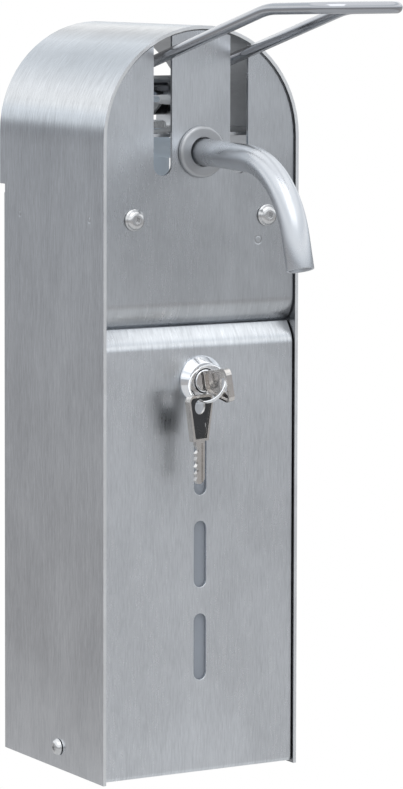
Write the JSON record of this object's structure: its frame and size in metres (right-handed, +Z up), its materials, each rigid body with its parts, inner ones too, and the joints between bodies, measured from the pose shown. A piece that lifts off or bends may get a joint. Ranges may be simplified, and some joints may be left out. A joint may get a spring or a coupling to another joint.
{
  "type": "wall mounted soap dispenser",
  "caption": "Wall mounted elbow-lever soap dispenser: arch-topped folded steel case, rod lever, bent spout, piston pump, bottle and a lockable hinged lower door.",
  "frame": {"origin": "middle of the wall plate's back face, on the wall plane, on the dispenser's centre line and 150 mm above its lower edge", "axes": "+X to the right as a user faces it, +Y into the wall, +Z up"},
  "size_m": [0.105, 0.2365, 0.3485],
  "materials": {
    "case_steel": "brushed stainless, upright grain",
    "polished_steel": "polished stainless",
    "chrome": "bright chrome",
    "key_metal": "nickel plate with black lacquered faces",
    "zinc_hardware": "bright zinc plate",
    "spring_steel": "drawn wire",
    "pump_plastic": "moulded blue-grey",
    "bottle_plastic": "milky blow-moulded bottle full of pale blue soap",
    "cap_plastic": "moulded white-grey",
    "dark_plastic": "moulded black"
  },
  "bodies": {
    "case": {"shell": "case_steel", "front_panel": "case_steel", "wall_plate": "zinc_hardware", "pump_shelf": "case_steel", "bottle_tray": "case_steel", "lever_axle": "zinc_hardware", "axle_clip_left": "zinc_hardware", "axle_clip_right": "zinc_hardware", "axle_bush_left": "dark_plastic", "axle_bush_right": "dark_plastic", "pump_body": "pump_plastic", "pump_cap_nut": "dark_plastic", "suction_tube": "cap_plastic", "spout_tube": "polished_steel", "spout_rose": "polished_steel", "spout_nut": "zinc_hardware", "bottle": "bottle_plastic", "bottle_cap": "cap_plastic", "lock_strike": "zinc_hardware", "panel_screw_left": "zinc_hardware", "panel_screw_right": "zinc_hardware", "panel_nut_left": "zinc_hardware", "panel_nut_right": "zinc_hardware", "door_pivot_screw_left": "zinc_hardware", "door_pivot_screw_right": "zinc_hardware", "pivot_nut_left": "zinc_hardware", "pivot_nut_right": "zinc_hardware", "wall_screw_lower_left": "zinc_hardware", "wall_screw_lower_right": "zinc_hardware", "wall_screw_upper_left": "zinc_hardware", "wall_screw_upper_right": "zinc_hardware", "tray_rivet_left": "zinc_hardware", "tray_rivet_right": "zinc_hardware"},
    "lever": {"lever_rod": "polished_steel", "lever_yoke": "case_steel", "roller_pin": "zinc_hardware"},
    "roller": {"press_roller": "dark_plastic"},
    "plunger": {"plunger": "zinc_hardware", "plunger_button": "dark_plastic", "return_spring": "spring_steel"},
    "door": {"door": "case_steel", "sight_strip": "cap_plastic", "lock_body": "chrome", "lock_nut": "zinc_hardware"},
    "lock": {"lock_plug": "chrome", "lock_cam": "zinc_hardware", "cam_screw": "zinc_hardware", "inserted_key": "key_metal"},
    "key_ring": {"split_ring": "chrome"},
    "spare_key": {"spare_key": "key_metal"}
  },
  "joints": [
    {"name": "lever_press", "type": "hinge", "parent": "case", "child": "lever", "pos_m": [0, -0.0155, 0.147], "axis": [1, 0, 0], "range_deg": [0, 18], "stiffness_Nm_per_rad": 0.7, "springref_deg": -20.63},
    {"name": "roller_spin", "type": "hinge", "parent": "lever", "child": "roller", "pos_m": [0, -0.0405, 0.1561], "axis": [1, 0, 0], "continuous": true},
    {"name": "plunger_stroke", "type": "slide", "parent": "case", "child": "plunger", "axis": [0, 0, -1], "range_m": [0, 0.0083], "deforming": ["return_spring"]},
    {"name": "door_hinge", "type": "hinge", "parent": "case", "child": "door", "pos_m": [0, -0.0573, -0.1401], "axis": [1, 0, 0], "range_deg": [0, 80]},
    {"name": "lock_turn", "type": "hinge", "parent": "door", "child": "lock", "pos_m": [0, -0.0995, 0.0281], "axis": [0, 1, 0], "range_deg": [0, 90]},
    {"name": "ring_swing", "type": "hinge", "parent": "lock", "child": "key_ring", "pos_m": [0, -0.1192, 0.0281], "axis": [0.9877, 0, 0.1564], "range_deg": [-1, 8]},
    {"name": "spare_key_swing", "type": "hinge", "parent": "key_ring", "child": "spare_key", "pos_m": [-0.00894, -0.11249, 0.01809], "axis": [-0.2924, 0.9563, 0], "range_deg": [-15, 15]}
  ],
  "couplings": [
    {"joint": "plunger_stroke", "follows": "lever_press", "m_per_rad": 0.0261}
  ]
}
